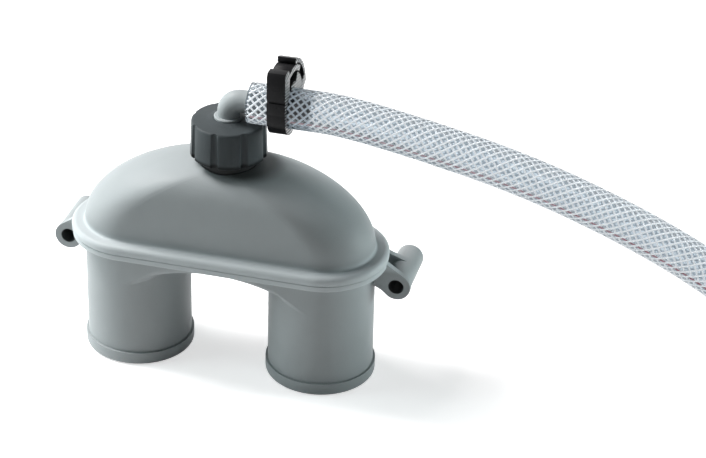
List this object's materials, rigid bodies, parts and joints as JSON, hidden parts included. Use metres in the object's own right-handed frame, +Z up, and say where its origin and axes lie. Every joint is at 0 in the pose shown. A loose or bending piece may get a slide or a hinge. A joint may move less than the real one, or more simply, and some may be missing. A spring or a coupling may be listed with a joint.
{
  "type": "anti-siphon valve",
  "caption": "Hooded plastic loop housing with hose spigots below, fixing lugs, a float valve under a union nut, and a braided clear air hose on an elbow.",
  "frame": {"origin": "midway between the two hose spigots, on the plane of their open ends", "axes": "+Z up along the spigots, +X along the housing towards the side that the elbow points to, +Y towards the wall that the lugs are screwed to"},
  "size_m": [0.4128, 0.1806, 0.1205],
  "materials": {
    "housing": "fine satin moulded",
    "nut_plastic": "satin moulded",
    "clip_nylon": "glossy moulded",
    "hose_pvc": "clear flexible",
    "hose_braid": "white yarn",
    "hose_tracer": "red yarn",
    "valve_plastic": "smooth moulded",
    "seal_rubber": "matt"
  },
  "bodies": {
    "housing": {"lower_housing": "housing", "upper_housing": "housing", "float_cage": "valve_plastic", "valve_seat": "valve_plastic", "seat_ring": "seal_rubber", "elbow_seal": "seal_rubber"},
    "float": {"float_disc": "valve_plastic", "float_pad": "seal_rubber"},
    "elbow": {"hose_elbow": "housing", "hose_clip": "clip_nylon", "air_hose": "hose_pvc", "air_hose_coil": "hose_pvc"},
    "nut": {"union_nut": "nut_plastic"}
  },
  "joints": [
    {"name": "float_lift", "type": "slide", "parent": "housing", "child": "float", "axis": [0, 0, 1], "range_m": [0, 0.00215]},
    {"name": "elbow_swivel", "type": "hinge", "parent": "housing", "child": "elbow", "pos_m": [0, 0, 0.0912], "axis": [0, 0, 1], "range_deg": [-180, 180]},
    {"name": "nut_turn", "type": "hinge", "parent": "housing", "child": "nut", "pos_m": [0, 0, 0.0892], "axis": [0, 0, 1], "range_deg": [0, 90]}
  ]
}
